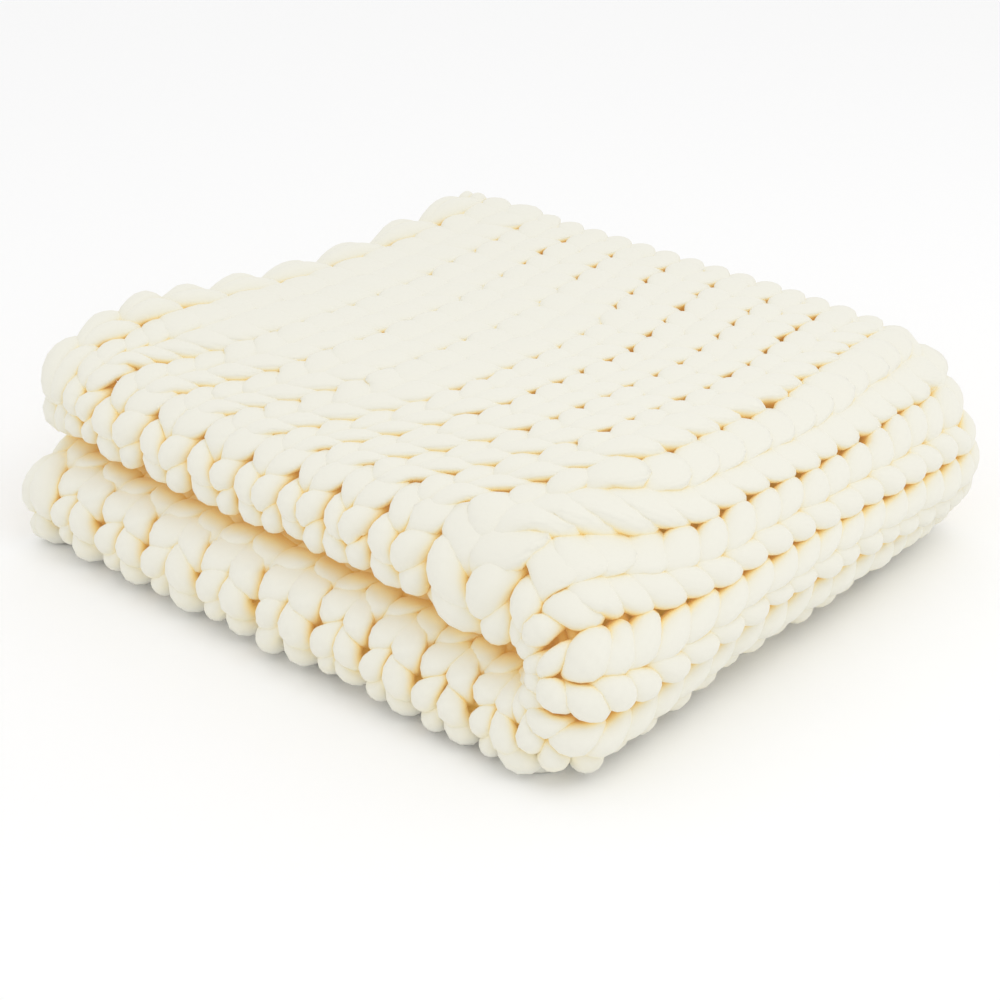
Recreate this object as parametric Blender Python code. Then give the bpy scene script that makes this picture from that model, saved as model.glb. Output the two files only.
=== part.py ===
"""A folded weighted blanket of chunky stockinette, one knitted panel in four layers.

The panel is folded in half across its wales, which rolls them over the front edge,
and is then folded like a book with the bend at the right. X runs across the wales,
Y runs along them, and Z is up. The underside is pressed flat on the surface.
"""
import bpy
import bmesh
import math
import numpy as np
from mathutils import Vector

# Sizes in metres.
WALES = 23
UPPER_LENGTH = 0.5629
LOWER_LENGTH = 0.5605
LAYER_LENGTH = 0.5304
BEND_RADIUS = 0.0506
LAYER_THICKNESS = 0.0482
LAYER_GAP = 0.0050
ROPE_RELIEF = 0.0075
BEND_RELIEF = 0.0115
BEND_THINNING = 0.12
EDGE_BULGE = 0.011
PRESSED_DEPTH = 0.0098

# How the settled stack leaves the plain fold: heights at the corners of the top, in metres.
RISE_FREE_FRONT = -0.0112
RISE_FREE_BACK = 0.0113
RISE_BEND_FRONT = 0.0168
RISE_BEND_BACK = -0.0083
RISE_MIDDLE = -0.0036
FRONT_SLOPE = 0.0318
CREASE_DROP = 0.0174
LOWER_REACH_SIDE = 0.0003
LOWER_REACH_FRONT = 0.0039
FOOT_SPREAD_FRONT = 0.0276
FOOT_SPREAD_BEND = 0.0332
TOP_LEAN_BEND = 0.0283
TOP_LEAN_FRONT = 0.0358
PLAN_SHEAR = 0.0251
RISE_BACK = -0.0021
LIFT_FREE_FRONT = 0.0338
LIFT_FREE_BACK = 0.0080
DIP_FREE_MIDDLE = 0.0086
DROP_BEND_BACK = 0.0063
REACH_FREE_FRONT = 0.0011
ROUND_FREE_BACK = 0.0021
ROUND_BEND_BACK = 0.0124
END_WANDER = 0.006

# Where the wales run, in millimetres across the panel: at the rolled edge, half way back, and at the back.
WALE_COLUMNS = ("wale", "roll", "half", "back")
WALE_TABLE = (
    (0, 0, 0, 0),
    (2, 64, 126, 104),
    (5, 248, 351, 292),
    (8, 402, 521, 478),
    (9, 470, 577, 554),
    (10, 566, 612, 606),
    (12, 655, 667, 682),
    (14, 750, 745, 748),
    (17, 912, 910, 910),
    (20, 1121, 1118, 1115),
    (23, 1282, 1282, 1282),
)

# Sampling of the sheet.
POINTS_PER_ROPE = 2
STRAIGHT_STEPS = 9
ROLL_STEPS = 8

COLLECTION_NAME = "weighted_blanket"
NODE_NAME = "knit_blanket"
YARN_COLOR = (0.86, 0.82, 0.73, 1.0)

PACK = 2.0 * LAYER_THICKNESS + LAYER_GAP
BEND_LENGTH = math.pi * BEND_RADIUS
PANEL_WIDTH = UPPER_LENGTH + BEND_LENGTH + LOWER_LENGTH
ROLL_RADIUS = PACK / 4.0
ROLL_LENGTH = math.pi * ROLL_RADIUS


def smooth(value, low, high):
    t = np.clip((value - low) / (high - low), 0.0, 1.0)
    return t * t * (3.0 - 2.0 * t)


def book_path(s):
    """Middle line of the folded pair, with its outward direction."""
    phi = np.clip((s - UPPER_LENGTH) / BEND_LENGTH, 0.0, 1.0) * math.pi
    before = np.minimum(s, UPPER_LENGTH) - UPPER_LENGTH
    after = np.maximum(s - UPPER_LENGTH - BEND_LENGTH, 0.0)
    x = before + BEND_RADIUS * np.sin(phi) - after
    z = BEND_RADIUS * np.cos(phi)
    return x, z, np.sin(phi), np.cos(phi)


def roll_path(v):
    """Middle line of one layer around the rolled front edge."""
    psi = np.clip(v / ROLL_LENGTH + 0.5, 0.0, 1.0) * math.pi
    past = np.maximum(np.abs(v) - ROLL_LENGTH / 2.0, 0.0)
    y = past - ROLL_RADIUS * np.sin(psi)
    w = -ROLL_RADIUS * np.cos(psi)
    return y, w, -np.sin(psi), -np.cos(psi)


def settle(x, y, z, s):
    """The folded stack as it lies: uneven corners, sloped front, a low crease at the bend."""
    height = 2.0 * BEND_RADIUS + PACK
    level = np.clip(z / height, 0.0, 1.0)
    lower = smooth(s, UPPER_LENGTH, UPPER_LENGTH + BEND_LENGTH)
    free_side = smooth(-x, -0.02, UPPER_LENGTH)
    bend_side = smooth(x, -0.16, BEND_RADIUS + PACK / 2.0)
    front = smooth(-y, -0.16, 0.03)
    foot = (1.0 - np.clip(level / 0.45, 0.0, 1.0)) ** 2
    top = smooth(level, 0.35, 1.0)
    across = np.clip((x + UPPER_LENGTH) / (UPPER_LENGTH + BEND_RADIUS), 0.0, 1.0)
    along = np.clip(y / LAYER_LENGTH, 0.0, 1.0)
    free = 1.0 - across
    rise = free ** 2 * ((1.0 - along) * RISE_FREE_FRONT + along ** 3 * RISE_FREE_BACK)
    rise = rise + across ** 2 * ((1.0 - along) * RISE_BEND_FRONT + along * RISE_BEND_BACK)
    rise = rise + RISE_MIDDLE * 16.0 * across * free * along * (1.0 - along)
    rise = rise + RISE_BACK * along ** 4 * (1.0 - across ** 4)
    rise = rise + LIFT_FREE_FRONT * free ** 6 * (1.0 - along) ** 3
    rise = rise + LIFT_FREE_BACK * free ** 5 * along ** 6
    rise = rise - DIP_FREE_MIDDLE * free ** 3 * 4.0 * along * (1.0 - along)
    rise = rise - DROP_BEND_BACK * across ** 6 * along ** 6
    rise = rise - FRONT_SLOPE * front
    rise = rise + 0.002 * np.sin(9.0 * x + 0.6) * np.cos(8.0 * y)
    drop = CREASE_DROP * 4.0 * level * (1.0 - level) * smooth(-y, -0.20, 0.0) * smooth(x, -0.20, 0.02)
    free_corner = ROUND_FREE_BACK * free ** 5 * along ** 5
    bend_corner = ROUND_BEND_BACK * across ** 5 * along ** 5
    x = x - REACH_FREE_FRONT * (1.0 - lower) * free ** 6 * (1.0 - along) ** 3
    x = x + free_corner - bend_corner
    y = y - free_corner - bend_corner
    x = x - LOWER_REACH_SIDE * lower * free_side
    y = y - LOWER_REACH_FRONT * lower * smooth(-x, 0.0, 0.20) * front
    y = y - FOOT_SPREAD_FRONT * foot * front + TOP_LEAN_FRONT * top * front
    x = x + FOOT_SPREAD_BEND * foot * bend_side - TOP_LEAN_BEND * top * bend_side
    x = x + PLAN_SHEAR * (y - 0.28)
    return x, y, z + rise * level - drop


def sheet_point(s, v, h):
    """Point of the folded panel at panel coordinates s, v and depth h from its middle."""
    y, w, ny, nw = roll_path(v)
    y = y + h * ny
    w = w + h * nw
    x, z, nx, nz = book_path(s)
    bend = np.sin(np.clip((s - UPPER_LENGTH) / BEND_LENGTH, 0.0, 1.0) * math.pi)
    w = w * (1.0 - BEND_THINNING * bend)
    x = x + w * nx
    z = z + w * nz + BEND_RADIUS + PACK / 2.0
    return settle(x, y, z, s)


def wale_place(wale, v):
    """Panel coordinate of a wale at distance v from the roll, as the wales fan a little."""
    numbers, roll, half, back = np.array(WALE_TABLE, float).T
    at_roll, at_half, at_back = (np.interp(wale, numbers, edges) for edges in (roll, half, back))
    reach = np.abs(v)
    place = at_roll + (at_half - at_roll) * smooth(reach, -0.02, 0.20)
    place = place + (at_back - at_half) * smooth(reach, 0.31, 0.57)
    return place * PANEL_WIDTH / roll[-1]


def rope_height(wale, s, v):
    """Raised ropes of the knit face, two to a wale, plump round the bend and crowded flat inside it."""
    rope = np.abs(np.sin(2.0 * math.pi * wale))
    bend = np.sin(np.clip((s - UPPER_LENGTH) / BEND_LENGTH, 0.0, 1.0) * math.pi)
    inside = smooth(-v, -ROLL_LENGTH / 2.0, ROLL_LENGTH / 2.0)
    flat = ROPE_RELIEF * (rope - 0.5) * (1.0 - 0.95 * np.minimum(1.0, 2.0 * bend) * inside)
    return flat + (BEND_RELIEF - ROPE_RELIEF) * (rope - 0.5) * bend * (1.0 - inside)


def row_lines():
    """Panel coordinates of the grid's rows, closer together around the roll."""
    end = ROLL_LENGTH / 2.0 + LAYER_LENGTH
    straight = np.linspace(ROLL_LENGTH / 2.0, end, STRAIGHT_STEPS + 1)
    roll = np.linspace(-ROLL_LENGTH / 2.0, ROLL_LENGTH / 2.0, ROLL_STEPS + 1)
    return np.concatenate([-straight[:0:-1], roll, straight[1:]])


def column_lines():
    """Wale numbers of the grid's columns, on every crest and groove."""
    return np.linspace(0.0, WALES, WALES * 2 * POINTS_PER_ROPE + 1)


def make_slab(column_count, row_count):
    """Flat unit slab: a grid, extruded, with one loop cut round its border."""
    slab = bmesh.new()
    bmesh.ops.create_grid(slab, x_segments=column_count, y_segments=row_count, size=0.5)
    drawn = bmesh.ops.extrude_face_region(slab, geom=slab.faces[:], use_keep_orig=True)
    lowered = [item for item in drawn["geom"] if isinstance(item, bmesh.types.BMVert)]
    bmesh.ops.translate(slab, verts=lowered, vec=(0.0, 0.0, -1.0))
    uprights = [edge for edge in slab.edges if abs(edge.verts[0].co.z - edge.verts[1].co.z) > 0.5]
    bmesh.ops.subdivide_edges(slab, edges=uprights, cuts=1)
    return slab


def fold_slab(slab, columns, rows):
    """Move every vertex of the slab to its place in the folded panel."""
    flat = np.array([vertex.co[:] for vertex in slab.verts])
    i = np.rint((flat[:, 0] + 0.5) * (len(columns) - 1)).astype(int)
    j = np.rint((flat[:, 1] + 0.5) * (len(rows) - 1)).astype(int)
    wale = columns[i]
    v = rows[j]
    s = wale_place(wale, v)
    on_side = (i == 0) | (i == len(columns) - 1)
    on_end = (j == 0) | (j == len(rows) - 1)
    border = on_side | on_end
    middle = np.abs(flat[:, 2] + 0.5) < 0.25
    knit_side = flat[:, 2] > -0.25
    half = LAYER_THICKNESS / 2.0
    knit_depth = half - ROPE_RELIEF / 2.0 + rope_height(wale, s, v)
    depth = np.where(knit_side, knit_depth, -half)
    depth = np.where(border, np.where(knit_side, half, -half) * 0.55, depth)
    depth = np.where(middle, 0.0, depth)
    bulge = np.where(middle, EDGE_BULGE, 0.0)
    s = s + bulge * on_side * np.sign(wale - WALES / 2.0)
    v = v + bulge * on_end * np.sign(v)
    v = v + END_WANDER * np.sin(11.0 * s + 1.0) * np.sign(v) * (np.abs(v) / rows[-1]) ** 6
    x, y, z = sheet_point(s, v, depth)
    z = np.where(z < PRESSED_DEPTH, 0.0, z)
    for vertex, place in zip(slab.verts, np.stack([x, y, z], axis=1)):
        vertex.co = place


def make_blanket():
    columns = column_lines()
    rows = row_lines()
    panel = make_slab(len(columns) - 1, len(rows) - 1)
    fold_slab(panel, columns, rows)
    pressed = [face for face in panel.faces if max(vertex.co.z for vertex in face.verts) == 0.0]
    bmesh.ops.dissolve_faces(panel, faces=pressed, use_verts=True)
    bmesh.ops.recalc_face_normals(panel, faces=panel.faces)
    return panel


def add_object(mesh):
    collection = bpy.data.collections.new(COLLECTION_NAME)
    bpy.context.scene.collection.children.link(collection)
    data = bpy.data.meshes.new(NODE_NAME)
    mesh.to_mesh(data)
    mesh.free()
    material = bpy.data.materials.new("jersey_tube_yarn")
    material.use_nodes = True
    shader = material.node_tree.nodes["Principled BSDF"]
    shader.inputs["Base Color"].default_value = YARN_COLOR
    shader.inputs["Roughness"].default_value = 0.9
    data.materials.append(material)
    blanket = bpy.data.objects.new(NODE_NAME, data)
    collection.objects.link(blanket)
    return blanket


for item in list(bpy.data.objects):
    bpy.data.objects.remove(item, do_unlink=True)

blanket = add_object(make_blanket())
corners = [blanket.matrix_world @ Vector(c) for c in blanket.bound_box]
middle_x = (min(c.x for c in corners) + max(c.x for c in corners)) / 2.0
middle_y = (min(c.y for c in corners) + max(c.y for c in corners)) / 2.0
for vertex in blanket.data.vertices:
    vertex.co.x -= middle_x
    vertex.co.y -= middle_y
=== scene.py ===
import math
import bpy
import numpy as np
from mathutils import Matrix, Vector


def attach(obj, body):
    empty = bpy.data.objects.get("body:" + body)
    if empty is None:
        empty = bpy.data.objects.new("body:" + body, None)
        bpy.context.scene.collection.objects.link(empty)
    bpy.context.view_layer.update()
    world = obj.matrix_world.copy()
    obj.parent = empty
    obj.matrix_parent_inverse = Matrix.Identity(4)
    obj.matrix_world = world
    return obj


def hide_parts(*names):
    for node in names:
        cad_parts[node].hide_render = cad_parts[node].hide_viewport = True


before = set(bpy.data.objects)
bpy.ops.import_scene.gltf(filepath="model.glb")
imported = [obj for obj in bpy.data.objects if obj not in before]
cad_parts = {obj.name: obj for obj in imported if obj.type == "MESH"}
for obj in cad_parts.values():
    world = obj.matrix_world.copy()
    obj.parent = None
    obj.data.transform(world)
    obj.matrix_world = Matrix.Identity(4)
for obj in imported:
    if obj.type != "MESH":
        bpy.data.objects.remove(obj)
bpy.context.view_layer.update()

scene = bpy.context.scene

panel = {
    "upperLength": 0.5629,    # flat part of the upper tier, across the wales
    "lowerLength": 0.5605,    # and of the lower tier
    "layerLength": 0.5304,    # flat part of each layer, along the wales
    "bendRadius": 0.0506,     # middle line of the book fold
    "layerThickness": 0.0482,
    "layerGap": 0.005,
    "bendThinning": 0.12,
    "centre": (-0.24416, 0.24296),  # from the fold's own corner to the middle of the stack
}

lie = {                        # how the stack settles after folding, in metres
    "riseFreeFront": -0.0112,
    "riseFreeBack": 0.0113,
    "riseBendFront": 0.0168,
    "riseBendBack": -0.0083,
    "riseMiddle": -0.0036,
    "riseBack": -0.0021,
    "liftFreeFront": 0.0338,
    "liftFreeBack": 0.0080,
    "dipFreeMiddle": 0.0086,
    "dropBendBack": 0.0063,
    "frontSlope": 0.0318,
    "creaseDrop": 0.0174,
    "lowerReachSide": 0.0003,
    "lowerReachFront": 0.0039,
    "reachFreeFront": 0.0011,
    "roundFreeBack": 0.0021,
    "roundBendBack": 0.0124,
    "footSpreadFront": 0.0276,
    "footSpreadBend": 0.0332,
    "topLeanBend": 0.0283,
    "topLeanFront": 0.0358,
    "planShear": 0.0251,
    "shearAbout": 0.28,
    # where these begin and end, towards the side that each names:
    # across the stack from the start of the bend, and along it from the start of the roll
    "freeSideFrom": -0.02,
    "bendSideFrom": -0.16,
    "lowerReachTo": 0.20,
    "front": (-0.16, 0.03),
    "creaseAcross": (-0.20, 0.02),
    "creaseAlong": (-0.20, 0.0),
    # in shares of the stack's height
    "footTo": 0.45,
    "topFrom": 0.35,
    # a slight wave over the whole stack
    "waveHeight": 0.002,
    "waveAcross": 9.0,
    "waveAlong": 8.0,
    "waveShift": 0.6,
}

pack = 2.0 * panel["layerThickness"] + panel["layerGap"]
bendRadius = panel["bendRadius"]
upperLength = panel["upperLength"]
bendLength = math.pi * bendRadius
panelWidth = upperLength + bendLength + panel["lowerLength"]
rollRadius = pack / 4.0
rollLength = math.pi * rollRadius
layerLength = panel["layerLength"]


def smooth(value, low, high):
    t = np.clip((value - low) / (high - low), 0.0, 1.0)
    return t * t * (3.0 - 2.0 * t)


def bookPath(s):
    # middle line of the folded pair around the book bend, with its outward direction
    phi = np.clip((s - upperLength) / bendLength, 0.0, 1.0) * math.pi
    before = np.minimum(s, upperLength) - upperLength
    after = np.maximum(s - upperLength - bendLength, 0.0)
    x = before + bendRadius * np.sin(phi) - after
    return x, bendRadius * np.cos(phi), np.sin(phi), np.cos(phi)


def rollPath(v):
    # middle line of one layer around the rolled front edge
    psi = np.clip(v / rollLength + 0.5, 0.0, 1.0) * math.pi
    past = np.maximum(np.abs(v) - rollLength / 2.0, 0.0)
    return past - rollRadius * np.sin(psi), -rollRadius * np.cos(psi), -np.sin(psi), -np.cos(psi)


def settle(x, y, z, s):
    # the folded stack as it lies: uneven corners, a sloped front and a low crease at the bend
    level = np.clip(z / (2.0 * bendRadius + pack), 0.0, 1.0)
    lower = smooth(s, upperLength, upperLength + bendLength)
    freeSide = smooth(-x, lie["freeSideFrom"], upperLength)
    bendSide = smooth(x, lie["bendSideFrom"], bendRadius + pack / 2.0)
    front = smooth(-y, *lie["front"])
    foot = (1.0 - np.clip(level / lie["footTo"], 0.0, 1.0)) ** 2
    top = smooth(level, lie["topFrom"], 1.0)
    across = np.clip((x + upperLength) / (upperLength + bendRadius), 0.0, 1.0)
    along = np.clip(y / layerLength, 0.0, 1.0)
    free = 1.0 - across
    rise = free ** 2 * ((1.0 - along) * lie["riseFreeFront"] + along ** 3 * lie["riseFreeBack"])
    rise = rise + across ** 2 * ((1.0 - along) * lie["riseBendFront"] + along * lie["riseBendBack"])
    rise = rise + lie["riseMiddle"] * 16.0 * across * free * along * (1.0 - along)
    rise = rise + lie["riseBack"] * along ** 4 * (1.0 - across ** 4)
    rise = rise + lie["liftFreeFront"] * free ** 6 * (1.0 - along) ** 3
    rise = rise + lie["liftFreeBack"] * free ** 5 * along ** 6
    rise = rise - lie["dipFreeMiddle"] * free ** 3 * 4.0 * along * (1.0 - along)
    rise = rise - lie["dropBendBack"] * across ** 6 * along ** 6
    rise = rise - lie["frontSlope"] * front
    wave = lie["waveHeight"] * np.sin(lie["waveAcross"] * x + lie["waveShift"]) * np.cos(lie["waveAlong"] * y)
    rise = rise + wave
    drop = lie["creaseDrop"] * 4.0 * level * (1.0 - level)
    drop = drop * smooth(-y, *lie["creaseAlong"]) * smooth(x, *lie["creaseAcross"])
    freeCorner = lie["roundFreeBack"] * free ** 5 * along ** 5
    bendCorner = lie["roundBendBack"] * across ** 5 * along ** 5
    x = x - lie["reachFreeFront"] * (1.0 - lower) * free ** 6 * (1.0 - along) ** 3
    x = x + freeCorner - bendCorner
    y = y - freeCorner - bendCorner
    x = x - lie["lowerReachSide"] * lower * freeSide
    y = y - lie["lowerReachFront"] * lower * smooth(-x, 0.0, lie["lowerReachTo"]) * front
    y = y - lie["footSpreadFront"] * foot * front + lie["topLeanFront"] * top * front
    x = x + lie["footSpreadBend"] * foot * bendSide - lie["topLeanBend"] * top * bendSide
    return x + lie["planShear"] * (y - lie["shearAbout"]), y, z + rise * level - drop


def foldPoint(s, v, h):
    # a point of the flat panel, h above its middle on the knit face, in its place in the stack
    y, w, ny, nw = rollPath(v)
    y = y + h * ny
    w = w + h * nw
    x, z, nx, nz = bookPath(s)
    bend = np.sin(np.clip((s - upperLength) / bendLength, 0.0, 1.0) * math.pi)
    w = w * (1.0 - panel["bendThinning"] * bend)
    x, y, z = settle(x + w * nx, y, z + w * nz + bendRadius + pack / 2.0, s)
    return np.stack([x - panel["centre"][0], y - panel["centre"][1], z], axis=-1)


selvage = {                    # stockinette curls away from its knit face along its free edges
    "flatFrom": 0.010,
    "curlRadius": 0.050,
    "rows": 2,                 # an edge stitch is slipped every other row, so it is two rows tall
    "radius": 1.24,
    "turnIn": 0.14,            # where the yarn rounds the edge: in wales inwards,
    "turnUp": 0.5,             # and in rows upwards
    "proud": 2.0,              # how far it stands above the knit face, in millimetres
}


def curlEdges(s, depth):
    # roll the sheet about a line below it, past flatFrom from either edge
    radius = selvage["curlRadius"]
    for low in (True, False):
        edge = selvage["flatFrom"] if low else panelWidth - selvage["flatFrom"]
        side = -1.0 if low else 1.0
        past = np.maximum(side * (s - edge), 0.0)
        turn = past / radius
        s = np.where(past > 0.0, edge + side * (radius + depth) * np.sin(turn), s)
        depth = np.where(past > 0.0, (radius + depth) * np.cos(turn) - radius, depth)
    return s, depth


knitting = {
    "wales": 23,
    "rows": 35,
    # where the wales run, in millimetres from the upper tier's free edge
    "waleColumns": ("wale", "roll", "half", "back"),
    "waleTable": (
        (0, -2, -2, -2),
        (1, 24, 31, 31),
        (2, 64, 126, 104),
        (5, 248, 351, 292),
        (8, 402, 521, 478),
        (9, 470, 577, 554),
        (10, 566, 612, 606),
        (12, 655, 667, 682),
        (14, 750, 745, 748),
        (17, 912, 910, 910),
        (20, 1121, 1118, 1115),
        (22, 1251, 1251, 1251),
        (23, 1284, 1284, 1284),
    ),
    # where the rows run, in millimetres from the middle of the roll: on the tiers, and round the bend
    "rowStep": 2.5,
    "rowEdges": {
        "tier": (0, 55, 132, 210, 292, 384, 478, 567),
        "bend": (0, 53, 138, 224, 309, 394, 481, 567),
    },
    "ontoBend": (7.5, 9.5),    # the wales over which the one passes into the other
    "offBend": (13.0, 15.0),
    # where the wales pass from one column's run to the next, in metres from the middle of the roll
    "rollToHalf": (-0.02, 0.20),
    "halfToBack": (0.31, 0.57),
}


def evenTable(column):
    # the wale table read at every wale
    rows = np.array(knitting["waleTable"], float)
    index = knitting["waleColumns"].index(column)
    return np.interp(np.arange(knitting["wales"] + 1), rows[:, 0], rows[:, index])


def tableAt(values, place):
    # a smooth reading between evenly spaced table values, straight on past both ends
    values = np.asarray(values, float) * 0.001
    padded = np.concatenate([[2 * values[0] - values[1]], values, [2 * values[-1] - values[-2]]])
    i = np.clip(np.floor(place).astype(int), 0, len(values) - 2)
    t = place - i
    inside = np.clip(t, 0.0, 1.0)
    a, b, c, d = padded[i], padded[i + 1], padded[i + 2], padded[i + 3]
    curve = 0.5 * (2 * b + (c - a) * inside + (2 * a - 5 * b + 4 * c - d) * inside ** 2
                   + (3 * b - a - 3 * c + d) * inside ** 3)
    return curve + (t - inside) * (c - b)


waleEdges = {name: evenTable(name) for name in ("roll", "half", "back")}


def panelPlace(wale, row):
    # panel coordinates of a point counted in wales from the free edge and rows from the inner end
    fromRoll = row - knitting["rows"] / 2.0
    step = np.abs(fromRoll) / knitting["rowStep"]
    tier = tableAt(knitting["rowEdges"]["tier"], step)
    bend = tableAt(knitting["rowEdges"]["bend"], step)
    onBend = smooth(wale, *knitting["ontoBend"]) * (1.0 - smooth(wale, *knitting["offBend"]))
    v = tier + (bend - tier) * onBend
    roll, half, back = (tableAt(waleEdges[name], wale) for name in ("roll", "half", "back"))
    s = roll + (half - roll) * smooth(v, *knitting["rollToHalf"])
    s = s + (back - half) * smooth(v, *knitting["halfToBack"])
    return s, v * np.sign(fromRoll)


# one stitch of the yarn, from the middle of one sinker loop to the next
stitch = {
    # across in wales, along in rows, depth and radius in millimetres
    "half": [
        (-0.500, -0.40, -9.0, 8.0),
        (-0.290, -0.40, -6.5, 8.0),
        (-0.080, -0.18, 1.0, 7.8),
        (-0.128, 0.24, 8.6, 11.2),
        (-0.235, 0.72, 9.8, 13.6),
        (-0.348, 1.20, 4.0, 10.7),
        (-0.280, 1.52, -7.0, 8.0),
        (0.000, 1.62, -10.0, 8.0),
    ],
    "middle": 0.62,            # its middle along the wale, in rows
    "width": 0.056,            # an even stitch, in metres
    "height": 0.034,
    # how far the stuffing opens out where a stitch has more room
    "plump": 0.4,
    "plumpWide": 0.40,
    "plumpWideFrom": 1.12,
    "plumpLow": 0.80,
    "plumpHigh": 1.30,
    "spareMost": 0.6,          # how much wider than an even stitch counts, at most
    "roomAbove": 0.006,        # the height over the layer's middle where the room is read
    "seed": 7,
    "jitterAcross": 0.016,
    "jitterAlong": 0.035,
    "jitterDepth": 0.0009,
    "jitterRadius": 0.045,
}


def stitchKeys():
    half = np.array(stitch["half"])
    other = half[-2::-1] * np.array([-1.0, 1.0, 1.0, 1.0])
    return np.concatenate([half, other[:-1]])     # the last key starts the next stitch


def courseKeys(row, rng, reverse):
    # keys of one course of yarn across the panel: wale, row, depth, radius
    one = stitchKeys()
    count = knitting["wales"]
    keys = np.tile(one, (count, 1, 1))
    keys[:, :, 0] += (np.arange(count) + 0.5)[:, None]
    tall, slipped = (0, count - 1) if reverse else (count - 1, 0)
    keys[tall, :, 3] *= selvage["radius"]
    keys[tall, :, 2] += selvage["proud"]
    if row < knitting["rows"] - 1:
        overlap = one[:, 1].max() - one[0, 1] - 1.0
        taller = (selvage["rows"] + overlap) / (1.0 + overlap)
        keys[tall, :, 1] = (keys[tall, :, 1] - one[0, 1]) * taller + one[0, 1]
    if row > 0:
        keys = np.delete(keys, slipped, axis=0)
    last = one[:1].copy()
    last[:, 0] = keys[-1, 0, 0] + 1.0
    keys = np.concatenate([keys.reshape(-1, 4), last])
    inward = selvage["turnIn"] if reverse else -selvage["turnIn"]
    keys[0 if reverse else -1, :2] += (inward, selvage["turnUp"])
    keys[:, 1] += row + 0.5 - stitch["middle"]
    wander = rng.normal(size=keys.shape)
    keys[:, 0] += wander[:, 0] * stitch["jitterAcross"]
    keys[:, 1] += wander[:, 1] * stitch["jitterAlong"]
    keys[:, 2] = keys[:, 2] * 0.001 + wander[:, 2] * stitch["jitterDepth"]
    keys[:, 3] = keys[:, 3] * 0.001 * (1.0 + wander[:, 3] * stitch["jitterRadius"])
    return keys[::-1] if reverse else keys


def smoothLine(keys, perStitch):
    # a Catmull-Rom line through the keys
    steps = perStitch / len(stitchKeys())
    total = len(keys) - 1
    at = np.linspace(0.0, total, int(round(total * steps)) + 1)
    i = np.minimum(at.astype(int), total - 1)
    t = (at - i)[:, None]
    padded = np.concatenate([2 * keys[:1] - keys[1:2], keys, 2 * keys[-1:] - keys[-2:-1]])
    a, b, c, d = padded[i], padded[i + 1], padded[i + 2], padded[i + 3]
    return 0.5 * (2 * b + (c - a) * t + (2 * a - 5 * b + 4 * c - d) * t ** 2
                  + (3 * b - a - 3 * c + d) * t ** 3)


def yarnLine(firstRow, lastRow, perStitch, rng):
    lines = []
    for row in range(firstRow, lastRow + 1):
        lines.append(courseKeys(row, rng, row % 2 == 1))
    return smoothLine(np.concatenate(lines), perStitch)


# the cast-on and bind-off edges: two strands laid round each other, one turn to a wale
edging = {
    "rowOut": 0.12,            # how far past the last row, in rows
    "swingRows": 0.30,
    "swingDepth": 10.5,        # in millimetres, as the radius
    "radius": 10.8,
    "keysPerWale": 6,
    "sideGap": 0.05,           # how far short of the side edges, in wales
    "pointsPerKey": 3,
}


def edgeLine(atEnd, phase, rng):
    count = knitting["wales"] * edging["keysPerWale"]
    wale = np.linspace(edging["sideGap"], knitting["wales"] - edging["sideGap"], count + 1)
    turn = 2.0 * math.pi * wale + phase
    out = edging["rowOut"] + edging["swingRows"] * np.cos(turn)
    row = knitting["rows"] + out if atEnd else -out
    depth = edging["swingDepth"] * np.sin(turn) * 0.001
    radius = edging["radius"] * 0.001 * (1.0 + rng.normal(size=count + 1) * stitch["jitterRadius"])
    keys = np.stack([wale, row, depth, radius], axis=1)
    return smoothLine(keys, len(stitchKeys()) * edging["pointsPerKey"])


def roomOf(wale, row, h):
    # how much fuller the tube is here than in an even stitch, and how much wider the stitch is
    def at(w, r):
        s, v = panelPlace(w, r)
        return foldPoint(s, v, h)
    span = 0.5
    aside = at(wale + span / 2.0, row) - at(wale - span / 2.0, row)
    onward = at(wale, row + span / 2.0) - at(wale, row - span / 2.0)
    across = np.linalg.norm(aside, axis=1) / span / stitch["width"]
    along = np.linalg.norm(onward, axis=1) / span / stitch["height"]
    wide = np.maximum(across / stitch["plumpWideFrom"], 1.0) ** stitch["plumpWide"]
    plump = np.clip((across * along) ** stitch["plump"] * wide, stitch["plumpLow"], stitch["plumpHigh"])
    return plump, np.clip(across - 1.0, 0.0, stitch["spareMost"])


# the stuffed tube swept along its centre line
tube = {
    "lump": 0.0010,            # how uneven the stuffing is
    "lumpScale": 55.0,         # a lump is about 18 mm long
    "lumpDetail": 1.5,
    # a loop that lies face up: its filling sinks and spreads sideways, and its top is pressed
    "faceUp": (0.35, 0.95),    # how far up its face looks, where that begins and where it is whole
    "flatten": 0.14,
    "widen": 0.12,
    "widenMore": 0.35,         # the more so the wider the stitch is
    "fuller": 0.45,
    "lift": 0.0045,            # and it is raised first, so that its outer face stays where it was
    "liftOver": 0.008,
    "pressedAbove": 0.013,     # height over the layer's middle where the press starts
    "pressedShare": 0.62,
    "pressedSoft": 0.005,
    "roundEdge": (0.012, 0.040),  # but near the free edges it stays round
    # a loop that hangs on the front: its legs draw in to a point at both ends
    "hangs": (0.2, 0.7),       # how far to the front its face looks
    "leafWidth": 0.0136,       # the radius at the widest
    "leafPower": 1.6,
    "leafLow": 0.62,
}


# the free front corner of the top puffs up
corner = {
    "rise": 0.010,
    "at": 0.115,               # from the middle of the roll
    "along": 0.055,
    "across": 0.060,
}


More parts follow.
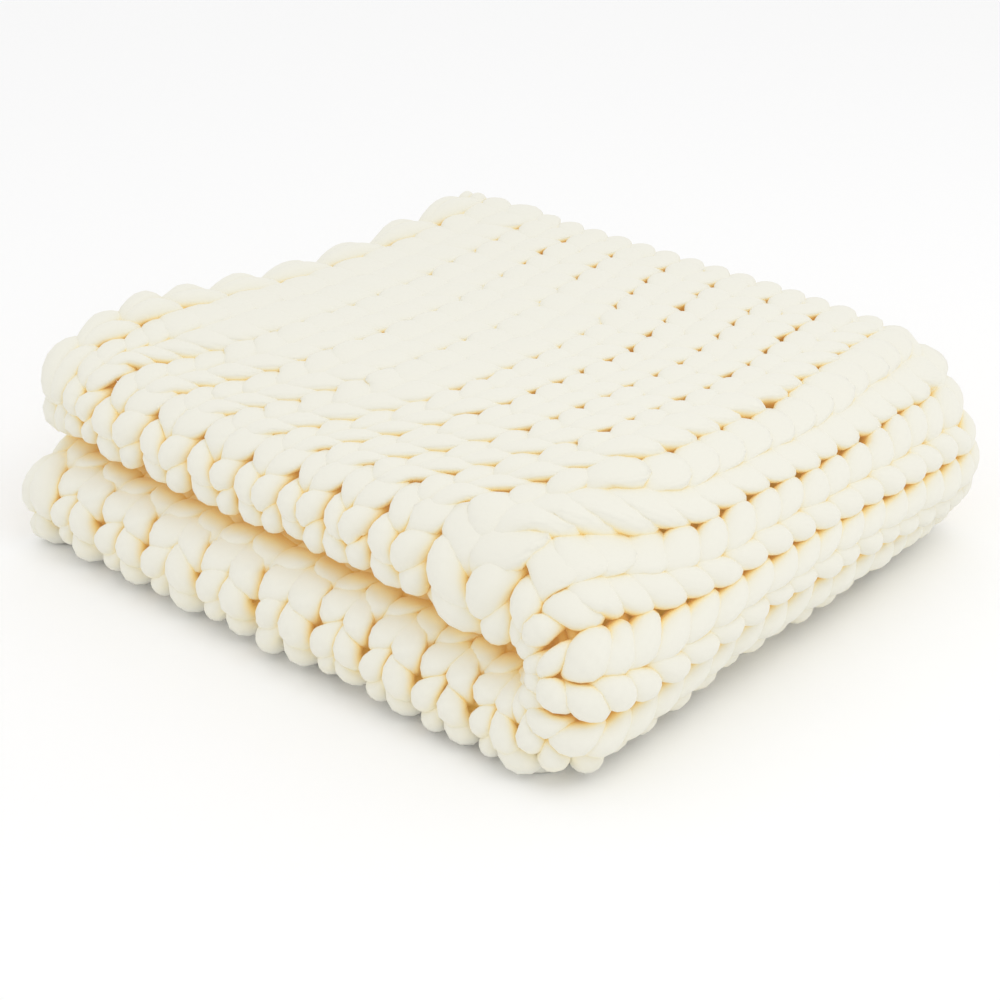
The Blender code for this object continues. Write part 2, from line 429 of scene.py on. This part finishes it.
def lineObject(name, lines):
    # the yarn's centre lines as chains of edges that carry what the tree needs
    line = np.concatenate(lines)
    breaks = set(np.cumsum([len(part) for part in lines]) - 1)
    wale, row, depth, even = line.T
    plump, spare = roomOf(wale, row, np.maximum(depth, 0.0) + stitch["roomAbove"])
    radius = even * plump
    s, v = panelPlace(wale, row)
    puff = corner["rise"] * np.exp(-(s / corner["across"]) ** 2 - ((v - corner["at"]) / corner["along"]) ** 2)
    # which way the knit face looks here
    probe = 0.002
    upper, lower = (foldPoint(edge, v, h) for edge, h in (
        curlEdges(s, depth + puff + probe), curlEdges(s, depth + puff)))
    faceWay = upper - lower
    faceWay /= np.linalg.norm(faceWay, axis=1)[:, None] + 1e-12
    fromEdge = np.minimum(s, panelWidth - s)
    spread = smooth(faceWay[:, 2], *tube["faceUp"]) * smooth(fromEdge, *tube["roundEdge"])
    radius = radius * (1.0 + tube["fuller"] * spare * spread)
    leaf = np.clip((even / tube["leafWidth"]) ** tube["leafPower"], tube["leafLow"], 1.0)
    hanging = smooth(-faceWay[:, 1], *tube["hangs"]) * (1.0 - np.minimum(2.0 * spare, 1.0))
    radius = radius * (1.0 - (1.0 - leaf) * hanging)
    lift = tube["lift"] * (1.0 - spare / stitch["spareMost"])
    depth = depth + spread * (tube["flatten"] * radius + lift) * smooth(depth, 0.0, tube["liftOver"])
    s, curled = curlEdges(s, depth + puff)
    place = foldPoint(s, v, curled)
    mesh = bpy.data.meshes.new(name)
    edges = [(k, k + 1) for k in range(len(place) - 1) if k not in breaks]
    mesh.from_pydata([tuple(p) for p in place], edges, [])
    widen = spread * (tube["widen"] + tube["widenMore"] * spare)
    numbers = {"yarnRadius": radius, "lineDepth": depth, "spread": spread, "widen": widen}
    for key, values in numbers.items():
        mesh.attributes.new(key, "FLOAT", "POINT").data.foreach_set("value", values.astype(np.float32))
    ways = mesh.attributes.new("faceWay", "FLOAT_VECTOR", "POINT")
    ways.data.foreach_set("vector", faceWay.astype(np.float32).ravel())
    obj = bpy.data.objects.new(name, mesh)
    scene.collection.objects.link(obj)
    return obj


def hexColor(code):
    parts = [int(code[k:k + 2], 16) / 255.0 for k in (0, 2, 4)]
    linear = [c / 12.92 if c <= 0.04045 else ((c + 0.055) / 1.055) ** 2.4 for c in parts]
    return (*linear, 1.0)


def addNode(tree, kind, links=None, **settings):
    node = tree.nodes.new(kind)
    for key, value in settings.items():
        setattr(node, key, value)
    for socket, value in (links or {}).items():
        target = node.inputs[socket]
        if isinstance(value, bpy.types.NodeSocket):
            tree.links.new(value, target)
        else:
            target.default_value = value
    return node


# the tree's named inputs, and the setting that fills each
tubeInputs = {
    "Sides": "sides",
    "Lump": "lump",
    "Lump Scale": "lumpScale",
    "Flatten": "flatten",
    "Pressed Above": "pressedAbove",
    "Pressed Share": "pressedShare",
    "Pressed Soft": "pressedSoft",
}


def addSweep(tree, start, lineCentre):
    # a round tube of the stored radius along the lines, with lumps from its stuffing
    radius = addNode(tree, "GeometryNodeInputNamedAttribute", {"Name": "yarnRadius"}, data_type="FLOAT")
    centred = addNode(tree, "GeometryNodeStoreNamedAttribute", {
        "Geometry": start.outputs["Geometry"], "Name": "lineCentre", "Value": lineCentre},
        data_type="FLOAT_VECTOR", domain="POINT")
    curve = addNode(tree, "GeometryNodeMeshToCurve", {"Mesh": centred.outputs[0]})
    sized = addNode(tree, "GeometryNodeSetCurveRadius", {
        "Curve": curve.outputs[0], "Radius": radius.outputs["Attribute"]})
    ring = addNode(tree, "GeometryNodeCurvePrimitiveCircle", {
        "Resolution": start.outputs["Sides"], "Radius": 1.0})
    swept = addNode(tree, "GeometryNodeCurveToMesh", {
        "Curve": sized.outputs[0], "Profile Curve": ring.outputs[0],
        "Scale": radius.outputs["Attribute"], "Fill Caps": True})
    normal = addNode(tree, "GeometryNodeInputNormal")
    noise = addNode(tree, "ShaderNodeTexNoise", {
        "Scale": start.outputs["Lump Scale"], "Detail": tube["lumpDetail"]})
    evenNoise = addNode(tree, "ShaderNodeMath", {0: noise.outputs["Fac"], 1: 0.5}, operation="SUBTRACT")
    amount = addNode(tree, "ShaderNodeMath", {
        0: evenNoise.outputs[0], 1: start.outputs["Lump"]}, operation="MULTIPLY")
    push = addNode(tree, "ShaderNodeVectorMath", {
        0: normal.outputs[0], "Scale": amount.outputs[0]}, operation="SCALE")
    return addNode(tree, "GeometryNodeSetPosition", {
        "Geometry": swept.outputs[0], "Offset": push.outputs[0]})


def addHeights(tree, place):
    # where a point of the tube is from its centre line, and its height over that line and over the layer
    centre = addNode(tree, "GeometryNodeInputNamedAttribute", {
        "Name": "lineCentre"}, data_type="FLOAT_VECTOR")
    way = addNode(tree, "GeometryNodeInputNamedAttribute", {"Name": "faceWay"}, data_type="FLOAT_VECTOR")
    depth = addNode(tree, "GeometryNodeInputNamedAttribute", {"Name": "lineDepth"}, data_type="FLOAT")
    out = addNode(tree, "ShaderNodeVectorMath", {
        0: place, 1: centre.outputs["Attribute"]}, operation="SUBTRACT")
    height = addNode(tree, "ShaderNodeVectorMath", {
        0: out.outputs[0], 1: way.outputs["Attribute"]}, operation="DOT_PRODUCT")
    total = addNode(tree, "ShaderNodeMath", {
        0: height.outputs["Value"], 1: depth.outputs["Attribute"]}, operation="ADD")
    return way.outputs["Attribute"], out.outputs[0], height.outputs["Value"], total.outputs[0]


def addPress(tree, start, height, total):
    # how far a loop that lies face up sinks: its filling evenly, its top by p * p / (p + soft)
    filling = addNode(tree, "ShaderNodeMath", {0: height, 1: start.outputs["Flatten"]}, operation="MULTIPLY")
    above = addNode(tree, "ShaderNodeMath", {
        0: total, 1: start.outputs["Pressed Above"]}, operation="SUBTRACT")
    proud = addNode(tree, "ShaderNodeMath", {0: above.outputs[0], 1: 0.0}, operation="MAXIMUM")
    squared = addNode(tree, "ShaderNodeMath", {
        0: proud.outputs[0], 1: proud.outputs[0]}, operation="MULTIPLY")
    eased = addNode(tree, "ShaderNodeMath", {
        0: proud.outputs[0], 1: start.outputs["Pressed Soft"]}, operation="ADD")
    softly = addNode(tree, "ShaderNodeMath", {0: squared.outputs[0], 1: eased.outputs[0]}, operation="DIVIDE")
    pressed = addNode(tree, "ShaderNodeMath", {
        0: softly.outputs[0], 1: start.outputs["Pressed Share"]}, operation="MULTIPLY")
    return addNode(tree, "ShaderNodeMath", {0: filling.outputs[0], 1: pressed.outputs[0]}, operation="ADD")


def makeTubeTree(material):
    tree = bpy.data.node_groups.new("stuffedTube", "GeometryNodeTree")
    face = tree.interface
    face.new_socket("Geometry", in_out="INPUT", socket_type="NodeSocketGeometry")
    sockets = {}
    for label, key in tubeInputs.items():
        kind = "NodeSocketInt" if key == "sides" else "NodeSocketFloat"
        sockets[key] = face.new_socket(label, in_out="INPUT", socket_type=kind).identifier
    face.new_socket("Geometry", in_out="OUTPUT", socket_type="NodeSocketGeometry")
    start = addNode(tree, "NodeGroupInput")
    place = addNode(tree, "GeometryNodeInputPosition")
    lumpy = addSweep(tree, start, place.outputs[0])
    way, out, height, total = addHeights(tree, place.outputs[0])
    sinks = addPress(tree, start, height, total)
    spread = addNode(tree, "GeometryNodeInputNamedAttribute", {"Name": "spread"}, data_type="FLOAT")
    widen = addNode(tree, "GeometryNodeInputNamedAttribute", {"Name": "widen"}, data_type="FLOAT")
    down = addNode(tree, "ShaderNodeMath", {
        0: spread.outputs["Attribute"], 1: sinks.outputs[0]}, operation="MULTIPLY")
    # it spreads outwards from its line, but not up or down
    wider = addNode(tree, "ShaderNodeVectorMath", {
        0: out, "Scale": widen.outputs["Attribute"]}, operation="SCALE")
    widerUp = addNode(tree, "ShaderNodeMath", {
        0: height, 1: widen.outputs["Attribute"]}, operation="MULTIPLY")
    allDown = addNode(tree, "ShaderNodeMath", {0: down.outputs[0], 1: widerUp.outputs[0]}, operation="ADD")
    downward = addNode(tree, "ShaderNodeMath", {0: allDown.outputs[0], 1: -1.0}, operation="MULTIPLY")
    sunk = addNode(tree, "ShaderNodeVectorMath", {0: way, "Scale": downward.outputs[0]}, operation="SCALE")
    moved = addNode(tree, "ShaderNodeVectorMath", {0: wider.outputs[0], 1: sunk.outputs[0]}, operation="ADD")
    settled = addNode(tree, "GeometryNodeSetPosition", {
        "Geometry": lumpy.outputs[0], "Offset": moved.outputs[0]})
    # the material's painted shade reads this height
    stored = addNode(tree, "GeometryNodeStoreNamedAttribute", {
        "Geometry": settled.outputs[0], "Name": "pileHeight", "Value": total},
        data_type="FLOAT", domain="POINT")
    shaded = addNode(tree, "GeometryNodeSetShadeSmooth", {"Geometry": stored.outputs[0]})
    real = addNode(tree, "GeometryNodeRealizeInstances", {"Geometry": shaded.outputs[0]})
    coated = addNode(tree, "GeometryNodeSetMaterial", {"Geometry": real.outputs[0], "Material": material})
    addNode(tree, "NodeGroupOutput", {"Geometry": coated.outputs[0]})
    return tree, sockets


def sweepTube(obj, tree, sockets, settings):
    step = obj.modifiers.new("stuffedTube", "NODES")
    step.node_group = tree
    for key in sockets:
        step[sockets[key]] = settings[key]
    graph = bpy.context.evaluated_depsgraph_get()
    mesh = bpy.data.meshes.new_from_object(obj.evaluated_get(graph))
    mesh.name = obj.name
    obj.modifiers.clear()
    obj.data = mesh
    pressDown(mesh)


# the yarn under the stack lies flat on the surface
underside = {
    "flatBelow": 0.003,
    "ease": 1.6,               # how fast what is lower than that is drawn to the surface
    "touchBelow": 0.0006,
}


def pressDown(mesh):
    count = len(mesh.vertices)
    co = np.empty(count * 3, np.float32)
    mesh.vertices.foreach_get("co", co)
    co = co.reshape(-1, 3)
    z = co[:, 2]
    flat = underside["flatBelow"]
    eased = flat * np.exp(np.minimum(z - flat, 0.0) / flat * underside["ease"])
    co[:, 2] = np.where(z < flat, eased, z)
    co[:, 2] = np.where(co[:, 2] < underside["touchBelow"], 0.0, co[:, 2])
    mesh.vertices.foreach_set("co", co.ravel())
    mesh.update()


# jersey tube knitted fine in cotton and stuffed with fibre: matte, with a soft fuzz that catches the light
jersey = {
    # painted shade: colours from a deep crevice to an open face, and how open the place is where each stands;
    # the open face's tone is the jersey's own cream, and the darker amber tones stand in for shade and
    # bounced light in crevices
    "paintedShadeTones": (
        (0.04, "D9A94A"),
        (0.18, "F4DE9C"),      # painted bounce light: amber stands in for light that has bounced between the tubes
        (0.42, "F6EFD3"),
        (0.78, "EEECE0"),
    ),
    "paintedGlowColor": "FFDC8C",          # painted glow: emission that stands in for light coming through the filling
    "paintedGlowStrength": 0.15,
    "paintedGlowTo": 0.50,
    "closeReach": 0.045,       # how near another tube has to be to close a crevice
    "floorFade": 0.05,
    "sunkLeast": 0.45,         # how open the lowest yarn of a face counts as
    "pile": (0.001, 0.013),    # heights over the layer's middle, from the lowest yarn to the highest
    "purlPile": (-0.009, -0.015),  # the same on the purl side
    "roughness": 0.92,
    "sheen": 0.2,
    "sheenRoughness": 0.6,
    "specular": 0.2,
    "fuzzScale": 420.0,        # a tuft is 2.4 mm across, coarser than the real fuzz, so that it shows
    "fuzzDetail": 3.0,
    "fuzzStrength": 0.10,
    "fuzzHeight": 0.001,
}


def addShadeAndGlowMask(tree, coords):
    # the mask of the painted shade and glow: 1 where the yarn is in the open, down to 0 in a deep crevice
    close = addNode(tree, "ShaderNodeAmbientOcclusion", {
        "Distance": jersey["closeReach"]}, samples=4, only_local=False)
    # the surface below the stack doesn't count as a crevice
    split = addNode(tree, "ShaderNodeSeparateXYZ", {0: coords.outputs["Object"]})
    clear = addNode(tree, "ShaderNodeMapRange", {
        "Value": split.outputs["Z"], "From Min": 0.0, "From Max": jersey["floorFade"],
        "To Min": 1.0, "To Max": 0.0})
    opened = addNode(tree, "ShaderNodeMath", {
        0: close.outputs["AO"], 1: clear.outputs["Result"]}, operation="MAXIMUM")
    height = addNode(tree, "ShaderNodeAttribute", attribute_name="pileHeight")
    knitSide, purlSide = (addNode(tree, "ShaderNodeMapRange", {
        "Value": height.outputs["Fac"], "From Min": low, "From Max": high,
        "To Min": jersey["sunkLeast"], "To Max": 1.0}) for low, high in (jersey["pile"], jersey["purlPile"]))
    proudest = addNode(tree, "ShaderNodeMath", {
        0: knitSide.outputs["Result"], 1: purlSide.outputs["Result"]}, operation="MAXIMUM")
    return addNode(tree, "ShaderNodeMath", {
        0: opened.outputs[0], 1: proudest.outputs[0]}, operation="MULTIPLY")


def makeJersey():
    material = bpy.data.materials.new("creamJerseyTube")
    material.use_nodes = True
    tree = material.node_tree
    shader = tree.nodes["Principled BSDF"]
    coords = addNode(tree, "ShaderNodeTexCoord")
    shadeAndGlowMask = addShadeAndGlowMask(tree, coords)
    # painted shade: the base colour runs from the jersey's own cream in the open to amber in crevices and on
    # sunk yarn
    paintedShadeRamp = addNode(tree, "ShaderNodeValToRGB", {"Fac": shadeAndGlowMask.outputs[0]})
    ramp = paintedShadeRamp.color_ramp
    deepest, *between, lightest = jersey["paintedShadeTones"]
    for element, (place, color) in zip(ramp.elements, (deepest, lightest)):
        element.position = place
        element.color = hexColor(color)
    for place, color in between:
        ramp.elements.new(place).color = hexColor(color)
    # painted glow: the emission is strongest in the deepest crevices and fades out in the open
    through = addNode(tree, "ShaderNodeMapRange", {
        "Value": shadeAndGlowMask.outputs[0], "From Min": 0.0, "From Max": jersey["paintedGlowTo"],
        "To Min": jersey["paintedGlowStrength"], "To Max": 0.0})
    fuzz = addNode(tree, "ShaderNodeTexNoise", {
        "Vector": coords.outputs["Object"], "Scale": jersey["fuzzScale"], "Detail": jersey["fuzzDetail"]})
    bump = addNode(tree, "ShaderNodeBump", {
        "Height": fuzz.outputs["Fac"], "Strength": jersey["fuzzStrength"], "Distance": jersey["fuzzHeight"]})
    tree.links.new(paintedShadeRamp.outputs["Color"], shader.inputs["Base Color"])
    tree.links.new(through.outputs["Result"], shader.inputs["Emission Strength"])
    tree.links.new(bump.outputs["Normal"], shader.inputs["Normal"])
    shader.inputs["Emission Color"].default_value = hexColor(jersey["paintedGlowColor"])
    shader.inputs["Roughness"].default_value = jersey["roughness"]
    shader.inputs["Sheen Weight"].default_value = jersey["sheen"]
    shader.inputs["Sheen Roughness"].default_value = jersey["sheenRoughness"]
    shader.inputs["Specular IOR Level"].default_value = jersey["specular"]
    return material


yarnMaterial = makeJersey()
tubeTree, tubeSockets = makeTubeTree(yarnMaterial)
rng = np.random.default_rng(stitch["seed"])

# what each piece knits, the points to a stitch and the sides of its tube: the hidden layers are coarser
pieces = [
    {"name": "innerLayersKnit", "rows": (0, 12), "points": 22, "sides": 8},
    {"name": "rolledEdgeKnit", "rows": (13, 17), "points": 38, "sides": 16},
    {"name": "frontFaceKnit", "rows": (18, 22), "points": 38, "sides": 16},
    {"name": "topNearKnit", "rows": (23, 28), "points": 38, "sides": 16},
    {"name": "topFarKnit", "rows": (29, 34), "points": 38, "sides": 16},
]
for spec in pieces:
    first, last = spec["rows"]
    lines = [yarnLine(first, last, spec["points"], rng)]
    if first == 0 or last == knitting["rows"] - 1:
        lines += [edgeLine(first > 0, phase, rng) for phase in (0.0, math.pi)]
    knit = lineObject(spec["name"], lines)
    sweepTube(knit, tubeTree, tubeSockets, {**tube, "sides": spec["sides"]})
    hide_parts("knit_blanket")
    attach(knit, "root")
    print("knitted", spec["name"], len(knit.data.polygons), "faces")


studio = {
    "floor": "FFFFFF",
    "floorSize": 12.0,
    "floorLow": 0.0005,        # just under the part, so that the two don't share a face
    "floorRoughness": 0.9,
    "world": "FFFFFF",
    "worldStrength": 0.925,
    "key": "FFFFFF",
    "keyPlace": (1.25, -0.1, 2.3),
    "keyAim": (0.0, 0.0, 0.1),
    "keySize": 1.8,
    "keyPower": 8.0,
}


def makeFloor():
    bpy.ops.mesh.primitive_plane_add(size=studio["floorSize"], location=(0.0, 0.0, -studio["floorLow"]))
    floor = bpy.context.object
    floor.name = "paleFloor"
    material = bpy.data.materials.new("palePaperFloor")
    material.use_nodes = True
    shader = material.node_tree.nodes["Principled BSDF"]
    shader.inputs["Base Color"].default_value = hexColor(studio["floor"])
    shader.inputs["Roughness"].default_value = studio["floorRoughness"]
    floor.data.materials.append(material)


def makeKeyLight():
    data = bpy.data.lights.new("keySoftbox", "AREA")
    data.shape = "DISK"
    data.size = studio["keySize"]
    data.energy = studio["keyPower"]
    data.color = hexColor(studio["key"])[:3]
    lamp = bpy.data.objects.new("keySoftbox", data)
    lamp.location = studio["keyPlace"]
    toAim = Vector(studio["keyAim"]) - Vector(studio["keyPlace"])
    lamp.rotation_euler = toAim.to_track_quat("-Z", "Y").to_euler()
    scene.collection.objects.link(lamp)


def makeWorld():
    world = bpy.data.worlds.new("softStudio")
    world.use_nodes = True
    background = world.node_tree.nodes["Background"]
    background.inputs["Color"].default_value = hexColor(studio["world"])
    background.inputs["Strength"].default_value = studio["worldStrength"]
    scene.world = world


view = {
    "azimuth": 41.184,
    "elevation": 24.430,
    "distance": 1.6752,
    "aim": (0.0044, -0.0085, 0.10),
    "pixels": 1000.0,          # the frame's width, and in it the focal length and the middle of the view
    "focal": 1852.2,
    "centreX": 502.88,
    "centreY": 445.38,
    "sensor": 36.0,
}


def makeCamera():
    a, e = math.radians(view["azimuth"]), math.radians(view["elevation"])
    back = Vector((math.sin(a) * math.cos(e), -math.cos(a) * math.cos(e), math.sin(e)))
    pixels = view["pixels"]
    data = bpy.data.cameras.new("cornerView")
    data.sensor_width = view["sensor"]
    data.lens = view["focal"] / pixels * view["sensor"]
    data.shift_x = -(view["centreX"] - pixels / 2.0) / pixels
    data.shift_y = (view["centreY"] - pixels / 2.0) / pixels
    data.clip_start = 0.05
    camera = bpy.data.objects.new("cornerView", data)
    camera.location = Vector(view["aim"]) + back * view["distance"]
    camera.rotation_euler = (-back).to_track_quat("-Z", "Y").to_euler()
    scene.collection.objects.link(camera)
    scene.camera = camera


makeFloor()
makeCamera()
makeWorld()
makeKeyLight()
scene.view_settings.view_transform = "Standard"
print("studio ready")
